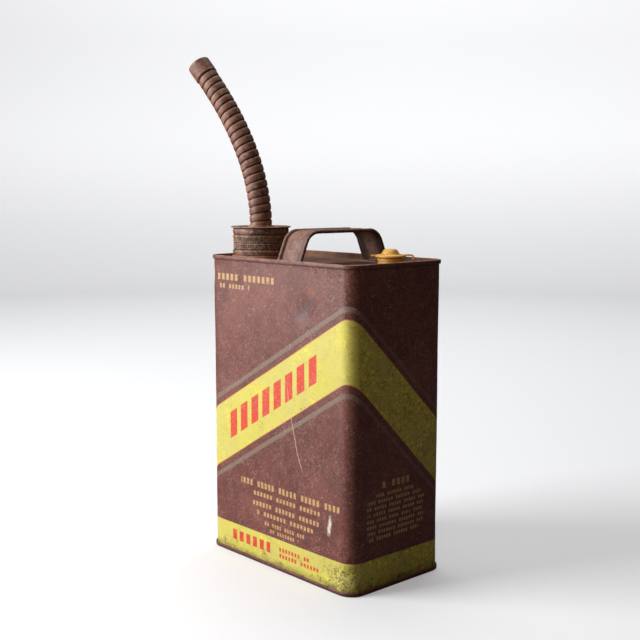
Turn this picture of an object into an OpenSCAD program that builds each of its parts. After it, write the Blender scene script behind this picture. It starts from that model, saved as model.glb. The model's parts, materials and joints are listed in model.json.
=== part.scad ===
// One-gallon rectangular metal gas can with a screw-on flexible pouring spout,
// a strap handle and a snap-in plastic vent. Millimetres, +Z up.
// Origin: centre of the footprint, in the plane of the bottom rim that the can stands on.
// The broad faces look along -Y and +Y. The filler sits in the -X -Y corner and the vent
// in the +X +Y corner.

/* [Body] */
// Width of the body wall along X
body_w = 168.3; // [150:0.1:190]
// Depth of the body wall along Y
body_d = 98.6; // [90:0.1:120]
// Height from the bottom rim to the top rim
can_h = 243; // [200:1:280]
// Radius of the upright corners
corner_r = 11.7; // [8:0.1:18]
// Thickness of the tinplate
sheet_t = 0.4; // [0.3:0.05:0.5]

/* [Double seams] */
// Height of the double seam round each end
seam_h = 3.2; // [3:0.1:5]
// Depth of each end panel below its rim
panel_drop = 5; // [4:0.1:8]
// Play between the folded layers of a seam
seam_play = 0.04; // [0.02:0.01:0.06]
// Thickness of the sealing compound in a seam
compound_t = 0.3; // [0.2:0.05:0.4]

/* [Filler neck] */
// Distance of the neck axis from the left wall
neck_from_side = 31; // [28:0.5:40]
// Distance of the neck axis from the front wall
neck_from_front = 29.8; // [28:0.5:40]
// Outside radius of the neck tube, under its thread
neck_r = 19.8; // [18:0.1:20]
// Height of the neck lip above the top rim
neck_lip_z = 19.2; // [17:0.1:22]
// Pitch of the thread
thread_pitch = 4; // [3:0.5:5]

/* [Screw collar] */
// Outside radius of the collar skirt
collar_r = 22.35; // [22.2:0.05:23]
// Outside radius of the thin brim at the top of the collar
collar_brim_r = 24.25; // [23:0.05:26]
// Thickness of the sheet that the collar is pressed from
collar_t = 0.6; // [0.5:0.05:0.7]
// Height of the top of the collar above the top rim
collar_top_z = 22.9; // [21:0.1:26]
// Height of the lower edge of the collar above the top rim
collar_foot_z = 0.6; // [0.5:0.1:1]

/* [Flexible spout] */
// Outside radius of the hose
hose_r = 9; // [8.8:0.05:9.2]
// Distance between the bending points of the hose
link_len = 23; // [22:0.5:28]
// Bend at the first bending point, in degrees
first_bend = 10; // [4:0.5:12]
// How much less each later point is bent than the one before, in degrees
bend_step = 1.4; // [0:0.1:1.5]
// Compass direction that the spout leans to, in degrees from +X
lean_dir = 198; // [180:1:225]
// Outside radius of the plain tip
tip_r = 9.5; // [9.3:0.05:10]
// Length of the plain tip
tip_len = 13; // [10:0.5:16]

/* [Handle] */
// Distance of the middle of the handle from the middle of the can
handle_x = 12; // [6:0.5:14]
// Turn of the handle about the upright axis through its middle, in degrees
handle_turn = -4.5; // [-6:0.5:6]
// Width of the handle strap over its rolled edges
handle_w = 30; // [22:0.5:30]
// Height of the top of the handle above the top rim
handle_top_z = 22.4; // [20:0.1:30]
// Half the outside length of the handle where it meets the panel
handle_half_len = 45.2; // [42:0.1:46]
// Lean of each leg from upright, in degrees
handle_lean = 21; // [15:1:25]
// Outside bend radius at the top corners of the handle
handle_bend_r = 14; // [10:0.5:16]
// Thickness of the strap
handle_t = 1; // [0.8:0.1:1.2]
// Depth and width of the rolled edges
handle_roll = 2.8; // [2:0.1:3]
// Length of each welded foot
foot_len = 12; // [8:1:14]

/* [Vent] */
// Distance of the vent axis from the right wall
vent_from_side = 30; // [26:0.5:34]
// Distance of the vent axis from the back wall
vent_from_back = 29.3; // [26:0.5:34]
// Radius of the seat ring
seat_r = 10; // [9.5:0.1:10.5]
// Radius of the brim of the cap
cap_r = 11.9; // [11.5:0.1:12.2]
// Radius of the vent bore
vent_bore_r = 3.4; // [3.2:0.1:4]
// Distance of the fold of the strap from the vent axis
fold_reach = 15.3; // [15:0.1:16]
// Reach of the pull tab from the vent axis
tab_reach = 15.2; // [15:0.1:19]

/* [Hidden] */

$fn = 96;
over = 0.1;      // overshoot of a cutter past the face that it cuts
join = 0.3;      // how far parts of one solid run into each other
part_gap = 0.3;  // air between pieces that move past each other

paint = [0.42, 0.2, 0.19];
tinplate = [0.5, 0.4, 0.33];
rusty = [0.45, 0.3, 0.23];
yellow = [0.95, 0.74, 0.25];
cork = [0.2, 0.17, 0.15];

rim_z = can_h;                      // top rim
panel_z = can_h - panel_drop;       // upper face of the top panel
play = seam_play;
t = sheet_t;

neck_x = -body_w / 2 + neck_from_side;
neck_y = -body_d / 2 + neck_from_front;
neck_bore_r = neck_r - 2;
neck_base_r = 25;                   // foot of the neck on the panel
neck_shoulder_r = 23.1;             // top of the base skirt, just under the collar
thread_h = 1.2;                     // height of the thread ridge
thread_w = 1.4;                     // height of the ridge along the axis
thread_arcs = 15;                   // arcs of the ridge in one turn

gasket_t = 1.5;
gasket_bore_r = neck_bore_r - 1;
flange_t = 1.2;
flange_r = 19.4;
flange_z = rim_z + neck_lip_z + gasket_t;      // underside of the spout flange
pivot_rise = 12;                               // first bending point, above the collar
pivot_1_z = rim_z + collar_top_z + pivot_rise;
links = 6;                                     // bending points
ball_r = 7.6;
socket_r = ball_r + part_gap;
ball_neck_r = 6;
ball_bore_r = 4.6;
hose_bore_r = 7.4;
skirt_drop = 2;                                // how far a socket reaches below its pivot
shoulder_drop = 5.8;                           // from a pivot down to the section below it
shoulder_t = 2;

vent_x = body_w / 2 - vent_from_side;
vent_y = body_d / 2 - vent_from_back;
vent_dir = 45;                      // compass direction of the strap; the tab points the other way
seat_top_z = rim_z + 1;
fold_z = rim_z + 0.6;               // height of the fold of the strap
strap_r = 3;                        // outside radius of the fold
strap_t = 1.2;
strap_w = 4.6;
barb_r = 7.9;
panel_hole_r = 7;

// ---- shared shapes ----

// Rounded rectangle: the body outline grown by "grow"
module outline(grow) {
    r = corner_r + grow;
    w = body_w + 2 * grow;
    d = body_d + 2 * grow;
    square([w, d - 2 * r], center = true);
    square([w - 2 * r, d], center = true);
    for (sx = [-1, 1], sy = [-1, 1])
        translate([sx * (w / 2 - r), sy * (d / 2 - r)]) circle(r);
}

// One layer of sheet that follows the body outline, between two offsets and two heights
module layer(inner, outer, low, high) {
    difference() {
        translate([0, 0, low]) linear_extrude(high - low) outline(outer);
        translate([0, 0, low - over]) linear_extrude(high - low + 2 * over) outline(inner);
    }
}

// Offsets of the five layers of a seam, outwards from the outside of the body wall
function end_hook() = [play, play + t];
function body_hook() = [2 * play + t, 2 * play + 2 * t];
function end_skirt() = [3 * play + 2 * t, 3 * play + 3 * t];
function chuck_wall() = [-2 * t - play, -t - play];

// Mirrors a top seam or end to the bottom of the can
module at_bottom() {
    translate([0, 0, can_h]) mirror([0, 0, 1]) children();
}

// Folded edge of the body wall inside the top seam
module body_edge() {
    flange_low = can_h - 2 * t - compound_t;
    layer(-t, body_hook()[1], flange_low, flange_low + t);
    layer(body_hook()[0], body_hook()[1], can_h - seam_h + t + play, flange_low + t);
}

// Recessed end with the folded edge that grips the body wall
module end_plate() {
    panel_low = panel_z - t;
    translate([0, 0, panel_low]) linear_extrude(t) outline(chuck_wall()[1]);
    layer(chuck_wall()[0], chuck_wall()[1], panel_low, can_h);
    layer(chuck_wall()[0], end_skirt()[1], can_h - t, can_h);
    layer(end_skirt()[0], end_skirt()[1], can_h - seam_h, can_h);
    layer(end_hook()[0], end_skirt()[1], can_h - seam_h, can_h - seam_h + t);
    layer(end_hook()[0], end_hook()[1], can_h - seam_h, can_h - 2 * t - compound_t - play);
}

// Ring of sealing compound between the body flange and the end
module compound_ring() {
    layer(-t, body_hook()[1], can_h - t - compound_t, can_h - t);
}

// Thread ridge, right-handed: short arcs round the Z axis, each a little higher than the one
// before. It stands between two radii, starts at start_z and runs for "turns". Every other arc
// is a hair narrower, so that no two arcs run on as one face.
module thread_ridge(inner, outer, start_z, turns) {
    hair = 0.03;
    arc_turn = 360 / thread_arcs;
    arc_overlap = 0.5;
    start_turn = 5;    // keeps the ends of the arcs off the seam of the tube
    for (i = [0:floor(turns * thread_arcs) - 1])
        translate([0, 0, start_z + thread_pitch * i / thread_arcs])
            rotate([0, 0, start_turn + i * arc_turn])
            rotate_extrude(angle = arc_turn + arc_overlap)
            translate([inner + hair * (i % 2), -thread_w / 2])
            square([outer - inner - 2 * hair * (i % 2), thread_w]);
}

// ---- can ----

module body_shell() {
    color(paint) {
        wall_end = 2 * t + compound_t;
        layer(-t, 0, wall_end, can_h - wall_end);
        body_edge();
        at_bottom() body_edge();
    }
}

module top_end() {
    color(tinplate) difference() {
        end_plate();
        translate([neck_x, neck_y, panel_z - t - over]) cylinder(t + 2 * over, r = neck_bore_r);
        translate([vent_x, vent_y, panel_z - t - over]) cylinder(t + 2 * over, r = panel_hole_r);
    }
}

module bottom_end() {
    color(tinplate) at_bottom() end_plate();
}

module top_seam_compound() {
    color(cork) compound_ring();
}

module bottom_seam_compound() {
    color(cork) at_bottom() compound_ring();
}

// Drawn neck: foot on the panel, sloping base skirt, tube and lip
module filler_neck() {
    skirt_t = 0.8;
    shoulder_gap = 0.4;    // air below the foot of the collar
    shoulder_z = collar_foot_z - shoulder_gap;
    color(rusty) translate([neck_x, neck_y, rim_z])
        rotate_extrude() polygon([
            [neck_bore_r, -panel_drop],
            [neck_base_r, -panel_drop],
            [neck_base_r, -panel_drop + skirt_t],
            [neck_shoulder_r + skirt_t / 2, -panel_drop + 2 * skirt_t],
            [neck_shoulder_r, shoulder_z - skirt_t],
            [neck_shoulder_r - skirt_t, shoulder_z],
            [neck_r, shoulder_z],
            [neck_r, neck_lip_z],
            [neck_bore_r, neck_lip_z]
        ]);
}

// Thread on the outside of the neck
module neck_thread() {
    thread_low = 5;
    thread_turns = 2.6;
    color(rusty) translate([neck_x, neck_y, rim_z])
        thread_ridge(neck_r, neck_r + thread_h, thread_low, thread_turns);
}

// ---- handle ----

// Side outline of the handle, solid down to the panel, moved "inset" in from the outer face.
// X runs along the handle and Y up from the panel.
module handle_outline(inset) {
    r = handle_bend_r - inset;
    bend_z = handle_top_z + panel_drop - handle_bend_r;
    leg_z = bend_z + handle_bend_r * sin(handle_lean);
    bend_y = handle_half_len - leg_z * tan(handle_lean) - handle_bend_r * cos(handle_lean);
    side_y = bend_y + r * cos(handle_lean);
    side_z = bend_z + r * sin(handle_lean);
    foot_y = side_y + side_z * tan(handle_lean);
    polygon([
        [-foot_y, 0], [-side_y, side_z], [-bend_y, bend_z + r],
        [bend_y, bend_z + r], [side_y, side_z], [foot_y, 0]
    ]);
    for (s = [-1, 1]) translate([s * bend_y, bend_z]) intersection() {
        circle(r);
        translate([-2 * r, 0]) square([4 * r, 2 * r]);
    }
}

// The outline drawn out across the strap, "width" wide
module handle_block(inset, width) {
    translate([-width / 2, 0, 0]) rotate([90, 0, 90])
        linear_extrude(width) handle_outline(inset);
}

// Strap with its edges rolled inwards and a foot turned in at the end of each leg
module handle() {
    color(rusty) translate([handle_x, 0, panel_z]) rotate([0, 0, handle_turn]) {
        difference() {
            handle_block(0, handle_w);
            handle_block(handle_t, handle_w - 2 * handle_roll);
            handle_block(handle_roll, handle_w + 2 * over);
        }
        for (foot_y = [-handle_half_len, handle_half_len - foot_len])
            translate([-handle_w / 2, foot_y, 0]) cube([handle_w, foot_len, handle_t]);
    }
}

// ---- vent ----

module at_vent() {
    translate([vent_x, vent_y, 0]) rotate([0, 0, vent_dir]) children();
}

// Snap-in seat: ring on the panel, neck through the panel hole, barb below it, and the ear
// that the strap grows from
module vent_seat() {
    seat_play = 0.1;
    seat_neck_r = panel_hole_r - seat_play;
    barb_tip_r = panel_hole_r - 0.6;
    barb_h = 1.4;
    barb_top = panel_z - t - seat_play;
    ear_z = fold_z - strap_r;
    ear_root = 1;    // how far the ear runs into the ring
    color(yellow) at_vent() difference() {
        union() {
            translate([0, 0, panel_z]) cylinder(seat_top_z - panel_z, r = seat_r);
            translate([0, 0, barb_top - join])
                cylinder(panel_z - barb_top + 2 * join, r = seat_neck_r);
            translate([0, 0, barb_top - barb_h]) cylinder(barb_h, r1 = barb_tip_r, r2 = barb_r);
            translate([seat_r - ear_root, -strap_w / 2, ear_z])
                cube([fold_reach - seat_r + ear_root - part_gap, strap_w, strap_t]);
        }
        translate([0, 0, barb_top - barb_h - over])
            cylinder(seat_top_z - barb_top + barb_h + 2 * over, r = vent_bore_r);
    }
}

// Loop of thin plastic between the seat and the cap, bent round the fold line
module vent_strap() {
    color(yellow) at_vent() translate([fold_reach, 0, fold_z]) difference() {
        rotate([90, 0, 0]) difference() {
            cylinder(strap_w, r = strap_r, center = true);
            cylinder(strap_w + 2 * over, r = strap_r - strap_t, center = true);
        }
        translate([-2 * strap_r, -strap_w, -2 * strap_r])
            cube([2 * strap_r, 2 * strap_w, 4 * strap_r]);
    }
}

// Cap: brim, conical knob, plug, pull tab and the ear that meets the strap
module vent_cap() {
    brim_low = seat_top_z + part_gap;
    brim_t = 1.7;
    brim_top = brim_low + brim_t;
    dome_h = 0.6;    // slope between the brim and the knob
    dome_low_r = cap_r - 0.6;
    dome_top_r = 7.4;
    knob_low_r = 7;
    knob_top_r = 4.6;
    knob_h = 4.4;
    plug_r = vent_bore_r - 0.4;
    plug_len = 3.5;
    tab_w = 4.8;
    root = 1;        // how far the tab and the ear run into the brim
    color(yellow) at_vent() {
        translate([0, 0, brim_low]) cylinder(brim_t, r = cap_r);
        translate([0, 0, brim_top]) cylinder(dome_h, r1 = dome_low_r, r2 = dome_top_r);
        translate([0, 0, brim_top]) cylinder(knob_h, r1 = knob_low_r, r2 = knob_top_r);
        translate([0, 0, brim_low - plug_len]) cylinder(plug_len + join, r = plug_r);
        translate([-tab_reach, -tab_w / 2, brim_top - strap_t])
            cube([tab_reach - cap_r + root, tab_w, strap_t]);
        translate([cap_r - root, -strap_w / 2, fold_z + strap_r - strap_t])
            cube([fold_reach - cap_r + root - part_gap, strap_w, strap_t]);
    }
}

// ---- screw collar and gasket ----

module neck_gasket() {
    color(cork) translate([neck_x, neck_y, rim_z + neck_lip_z]) difference() {
        cylinder(gasket_t, r = flange_r);
        translate([0, 0, -over]) cylinder(gasket_t + 2 * over, r = gasket_bore_r);
    }
}

// Pressed collar: beaded skirt with an inside thread, outward brim and inward lip
module spout_collar() {
    lip_r = 16.8;
    brim_t = 1;
    groove_deep = 0.45;
    groove_r = 0.8;
    groove_heights = [4.8, 9.9, 16.4];    // above the top rim
    thread_low = collar_foot_z + 2.4;
    thread_turns = 3;
    inner = collar_r - collar_t - groove_deep;
    color(rusty) translate([neck_x, neck_y, rim_z]) {
        difference() {
            union() {
                translate([0, 0, collar_foot_z])
                    cylinder(collar_top_z - collar_foot_z, r = collar_r);
                translate([0, 0, collar_top_z - brim_t]) cylinder(brim_t, r = collar_brim_r);
            }
            translate([0, 0, collar_foot_z - over])
                cylinder(collar_top_z - collar_foot_z - collar_t + over, r = inner);
            translate([0, 0, collar_foot_z]) cylinder(collar_top_z, r = lip_r);
            for (z = groove_heights) translate([0, 0, z])
                rotate_extrude()
                translate([collar_r + groove_r - groove_deep, 0]) circle(groove_r);
        }
        thread_ridge(inner - thread_h, inner + join, thread_low, thread_turns);
    }
}

// ---- flexible spout ----

// Sum of the bends at the first n bending points
function lean(n) = n * first_bend - bend_step * n * (n - 1) / 2;
// Distance along the lean direction, and height, of bending point n
function reach(n) = n <= 1 ? 0 : reach(n - 1) + link_len * sin(lean(n - 1));
function rise(n) = n <= 1 ? pivot_1_z : rise(n - 1) + link_len * cos(lean(n - 1));

// Moves children, drawn up the Z axis from their lower pivot, to bending point n
module at_pivot(n) {
    translate([neck_x, neck_y, 0]) rotate([0, 0, lean_dir])
        translate([reach(n), 0, rise(n)]) rotate([0, lean(n), 0]) children();
}

// Upper end of a section: plain tube, shoulder and the ball that carries the next section.
// The tube starts "low" below the pivot at the origin.
module ball_end(low) {
    difference() {
        union() {
            translate([0, 0, -low]) cylinder(low - shoulder_drop, r = hose_r);
            translate([0, 0, -shoulder_drop - join]) cylinder(shoulder_drop, r = ball_neck_r);
            sphere(ball_r);
        }
        translate([0, 0, -low - over])
            cylinder(low + over - shoulder_drop - shoulder_t, r = hose_bore_r);
        translate([0, 0, -low]) cylinder(low + 2 * ball_r, r = ball_bore_r);
    }
}

// Lower end of a section: skirt round the ball of the section below, "high" long
module socket_end(high) {
    difference() {
        translate([0, 0, -skirt_drop]) cylinder(high + skirt_drop, r = hose_r);
        sphere(socket_r);
        cylinder(high + over, r = hose_bore_r);
    }
}

// Section 1 stands upright in the flange, sections 2 to 6 run from pivot to pivot
module hose_section(n) {
    foot_gap = 0.2;
    color(tinplate)
    if (n == 1)
        translate([neck_x, neck_y, pivot_1_z])
            ball_end(pivot_1_z - flange_z - flange_t - foot_gap);
    else {
        half = link_len / 2;
        at_pivot(n - 1) socket_end(half);
        at_pivot(n - 1) translate([0, 0, link_len]) ball_end(half);
    }
}

// Last section: a socket and a narrowed tube inside the tip
module hose_section_last() {
    narrow_r = tip_r - 0.9;
    wide_len = 7;       // full-width part, below the tip
    socket_len = 8.2;   // clears the ball of the section below
    tube_len = 19;
    color(tinplate) at_pivot(links) difference() {
        union() {
            translate([0, 0, -skirt_drop]) cylinder(wide_len + skirt_drop, r = hose_r);
            cylinder(tube_len, r = narrow_r);
        }
        sphere(socket_r);
        cylinder(socket_len, r = socket_r);
        cylinder(tube_len + over, r = hose_bore_r);
    }
}

module spout_tip() {
    tip_low = 7.1;
    edge_r = 0.45;
    tip_bore_r = tip_r - 0.85;
    color(rusty) at_pivot(links) translate([0, 0, tip_low]) difference() {
        union() {
            cylinder(tip_len - edge_r, r = tip_r);
            cylinder(tip_len, r = tip_r - edge_r);
            translate([0, 0, tip_len - edge_r])
                rotate_extrude() translate([tip_r - edge_r, 0]) circle(edge_r);
        }
        translate([0, 0, -over]) cylinder(tip_len + 2 * over, r = tip_bore_r);
    }
}

// Disc that the collar clamps on the gasket, with a raised grip round the foot of the hose
module spout_flange() {
    bead_r = 15.6;
    bead_h = 0.7;
    grip_r = 10.4;
    grip_h = 1.6;
    stub_r = 8;
    stub_len = 5;
    foot_play = 0.1;    // round the foot of the hose and below it
    color(rusty) translate([neck_x, neck_y, flange_z]) difference() {
        union() {
            cylinder(flange_t, r = flange_r);
            cylinder(flange_t + bead_h, r = bead_r);
            cylinder(flange_t + grip_h, r = grip_r);
            translate([0, 0, -stub_len]) cylinder(stub_len + flange_t, r = stub_r);
        }
        translate([0, 0, flange_t + foot_play]) cylinder(2 * grip_h, r = hose_r + foot_play);
        translate([0, 0, -stub_len - over])
            cylinder(stub_len + 2 * flange_t + over, r = hose_bore_r);
    }
}

body_shell();
top_end();
bottom_end();
top_seam_compound();
bottom_seam_compound();
filler_neck();
neck_thread();
handle();
vent_seat();
vent_strap();
vent_cap();
neck_gasket();
spout_collar();
spout_flange();
for (n = [1:links])
    hose_section(n);
hose_section_last();  // hose_section_7
spout_tip();
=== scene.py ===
"""Gallon gas can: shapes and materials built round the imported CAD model.

Metres, +Z up, in the frame of the CAD model. Sizes in the tables below are millimetres.
"""

import json
import math
from functools import partialmethod, reduce

import bmesh
import bpy
import numpy as np
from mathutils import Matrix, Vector, noise


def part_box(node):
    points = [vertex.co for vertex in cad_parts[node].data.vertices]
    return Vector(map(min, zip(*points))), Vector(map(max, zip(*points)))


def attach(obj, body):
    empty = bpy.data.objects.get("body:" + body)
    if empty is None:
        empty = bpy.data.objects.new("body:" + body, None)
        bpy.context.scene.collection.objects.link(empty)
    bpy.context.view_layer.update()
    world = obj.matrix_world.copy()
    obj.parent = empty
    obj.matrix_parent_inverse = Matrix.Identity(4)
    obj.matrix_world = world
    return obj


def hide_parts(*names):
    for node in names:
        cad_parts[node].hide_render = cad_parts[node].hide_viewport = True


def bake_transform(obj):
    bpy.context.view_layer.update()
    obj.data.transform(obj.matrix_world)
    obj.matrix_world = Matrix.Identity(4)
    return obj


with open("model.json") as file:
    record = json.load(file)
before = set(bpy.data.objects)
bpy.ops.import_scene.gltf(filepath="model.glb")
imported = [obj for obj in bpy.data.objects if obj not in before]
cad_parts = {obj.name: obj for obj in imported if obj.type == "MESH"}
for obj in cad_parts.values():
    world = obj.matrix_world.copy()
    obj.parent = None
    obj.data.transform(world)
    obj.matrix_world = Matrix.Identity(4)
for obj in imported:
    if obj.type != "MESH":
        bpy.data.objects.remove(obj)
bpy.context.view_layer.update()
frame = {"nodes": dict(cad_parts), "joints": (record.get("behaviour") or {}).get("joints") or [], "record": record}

MM = 0.001
TURN = 2 * math.pi

JOINTS = {joint["name"]: joint for joint in frame["joints"]}
MOUNTS = {mount["name"]: mount for mount in frame["record"]["mounts"]}

# ---- sizes, taken from the frame where it has them ----

RIM_PROUD = 1.32          # the seams stand this far out of the wall
CORNER_R = 11.7           # outside radius of the upright corners of the wall
SHEET = 0.4               # thickness of the tinplate
SEAM_H = 3.2              # height of a double seam

rim_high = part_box("top_end")[1] / MM
HALF_W = rim_high.x - RIM_PROUD
HALF_D = rim_high.y - RIM_PROUD
CAN_H = rim_high.z
PANEL_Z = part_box("handle")[0].z / MM

NECK = Vector(JOINTS["collar_screw"]["pos_m"]) / MM
NECK.z = CAN_H            # heights on the neck are counted from the top rim

VENT_TURN = math.radians(45)      # compass direction of the vent's strap
FOLD_REACH = 15.3                 # from the vent axis to the fold of the strap
strap_dir = Vector((math.cos(VENT_TURN), math.sin(VENT_TURN), 0))
VENT = Vector(JOINTS["vent_cap_hinge"]["pos_m"]) / MM - FOLD_REACH * strap_dir
FOLD_Z = VENT.z - CAN_H           # height of the fold above the top rim
VENT.z = CAN_H

PIVOTS = [Vector(JOINTS[f"spout_bend_{n}"]["pos_m"]) / MM for n in range(1, 7)]
TIP_DIR = Vector(MOUNTS["spout_tip_outside"]["axis"])
BEND_AXIS = Vector(JOINTS["spout_bend_1"]["axis"])


# ---- mesh tools ----

def noise_at(point, size, seed):
    """Smooth noise from about -1 to 1, with features about `size` millimetres across."""
    return noise.noise(Vector(point) / size + Vector((seed, seed * 1.7, -seed)))


def placed(points, origin, turn):
    """Points turned about +Z by `turn` radians, then moved to an origin."""
    points = np.asarray(points, float).reshape(-1, 3)
    c, s = math.cos(turn), math.sin(turn)
    return np.column_stack([origin[0] + c * points[:, 0] - s * points[:, 1],
                            origin[1] + s * points[:, 0] + c * points[:, 1],
                            origin[2] + points[:, 2]])


def add_object(name, mesh, material, body=None, replaces=(), sharp=35):
    """Put a mesh, or a list of parts, in the scene. `sharp` degrees make an edge sharp."""
    if isinstance(mesh, list):
        mesh = mesh_of(name, mesh)
    mesh.shade_smooth()
    mesh.set_sharp_from_angle(angle=math.radians(sharp))
    mesh.materials.append(material)
    obj = bpy.data.objects.new(name, mesh)
    bpy.context.scene.collection.objects.link(obj)
    if body:
        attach(obj, body)
    if replaces:
        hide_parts(*replaces)
    return obj


def dress(node, material):
    """Give a CAD mesh that stays in the scene a material of its own."""
    materials = frame["nodes"][node].data.materials
    materials.clear()
    materials.append(material)


def grid_faces(rows, cols, wrap_rows):
    """Quads of a grid of points numbered row by row. Each row is a closed ring."""
    index = np.arange(rows * cols).reshape(rows, cols)
    down = np.roll(index, -1, 0)
    right = np.roll(index, -1, 1)
    both = np.roll(down, -1, 1)
    quads = np.stack([index, right, both, down], axis=-1)
    if not wrap_rows:
        quads = quads[:-1]
    return quads.reshape(-1, 4).tolist()


def mesh_of(name, parts, closed=True):
    """One mesh out of several (points, faces, shade) parts, in millimetres. The shade, which may
    be left out, is painted shade: 1 for points deep in a groove. A closed mesh gets its
    normals turned outwards."""
    vertices, faces, hollows = [], [], []
    for points, part_faces, *painted_shade in parts:
        base = len(vertices)
        vertices += (np.asarray(points).reshape(-1, 3) * MM).tolist()
        faces += [[base + i for i in face] for face in part_faces]
        hollows += list(painted_shade[0]) if painted_shade else [0.0] * (len(vertices) - base)
    mesh = bpy.data.meshes.new(name)
    mesh.from_pydata(vertices, [], faces)
    mesh.attributes.new("painted_shade", "FLOAT", "POINT").data.foreach_set("value", hollows)
    work = bmesh.new()
    work.from_mesh(mesh)
    bmesh.ops.remove_doubles(work, verts=work.verts, dist=2e-6)
    if closed:
        bmesh.ops.recalc_face_normals(work, faces=work.faces)
    work.to_mesh(mesh)
    work.free()
    mesh.validate()
    return mesh


def sweep(sections):
    """Part made of equal closed sections, one after the other, with flat ends."""
    points = np.array(sections, float)
    rows, cols = points.shape[:2]
    ends = [list(range(cols)), [(rows - 1) * cols + i for i in range(cols)]]
    return points.reshape(-1, 3), grid_faces(rows, cols, False) + ends


def lathe(profile, centre, segments=128, shape=None, axis=None):
    """Part turned from a closed (radius, height) profile. shape(r, z, angle) may change the
    radius. The axis is +Z, or a direction that the profile's heights run along."""
    profile = np.array(profile, float)
    angles = np.arange(segments) * TURN / segments
    up = Vector(axis or (0, 0, 1))
    side = up.orthogonal().normalized() if axis else Vector((1, 0, 0))
    other = up.cross(side)
    r, z, angle = np.broadcast_arrays(profile[:, :1], profile[:, 1:], angles)
    if shape:
        r = shape(r, z, angle)
    spoke = np.cos(angle)[..., None] * np.array(side) + np.sin(angle)[..., None] * np.array(other)
    points = np.array(centre) + r[..., None] * spoke + z[..., None] * np.array(up)
    return points.reshape(-1, 3), grid_faces(len(profile), segments, True)


def lifted(profile, height):
    """The profile with a height added to all of its heights."""
    return [(r, z + height) for r, z in profile]


def refine(profile, step):
    """The same closed profile with no side longer than `step`."""
    out = []
    for (r0, z0), (r1, z1) in zip(profile, profile[1:] + profile[:1]):
        count = max(1, math.ceil(math.hypot(r1 - r0, z1 - z0) / step))
        out += [(r0 + (r1 - r0) * k / count, z0 + (z1 - z0) * k / count) for k in range(count)]
    return out


# ---- material tools ----

def linear(value):
    """Linear value of a display value from 0 to 255."""
    value /= 255
    return value / 12.92 if value <= 0.04045 else ((value + 0.055) / 1.055) ** 2.4


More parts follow.
